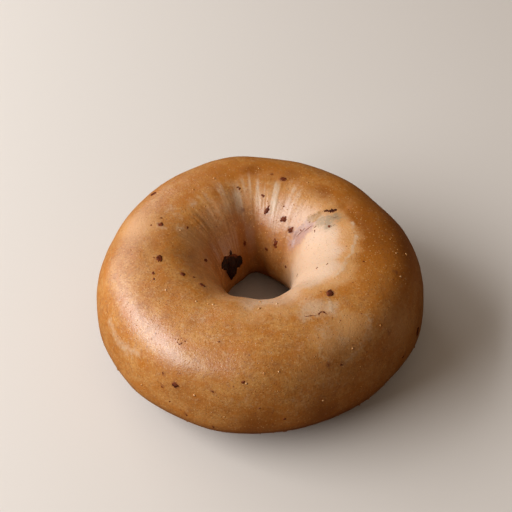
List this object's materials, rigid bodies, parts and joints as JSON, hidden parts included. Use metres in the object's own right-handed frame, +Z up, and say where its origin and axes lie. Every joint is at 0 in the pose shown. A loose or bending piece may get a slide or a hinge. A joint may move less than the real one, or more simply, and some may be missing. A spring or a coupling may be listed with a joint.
{
  "type": "bagel",
  "caption": "Ring-shaped baked bagel with a glossy golden-brown crust, bits of dried fruit in it, a creased hole through the middle and a flat underside to rest on.",
  "frame": {"origin": "the floor point under the middle of the ring's box, in the hole", "axes": "+Z up through the hole, +X to the viewer's right, -Y towards the viewer, the hole's deep crease at +Y"},
  "size_m": [0.1148, 0.118, 0.0423],
  "materials": {
    "crust": "satin baked crust",
    "fruit": "dried fruit skin"
  },
  "bodies": {
    "root": {"bagel": "crust"}
  },
  "joints": []
}
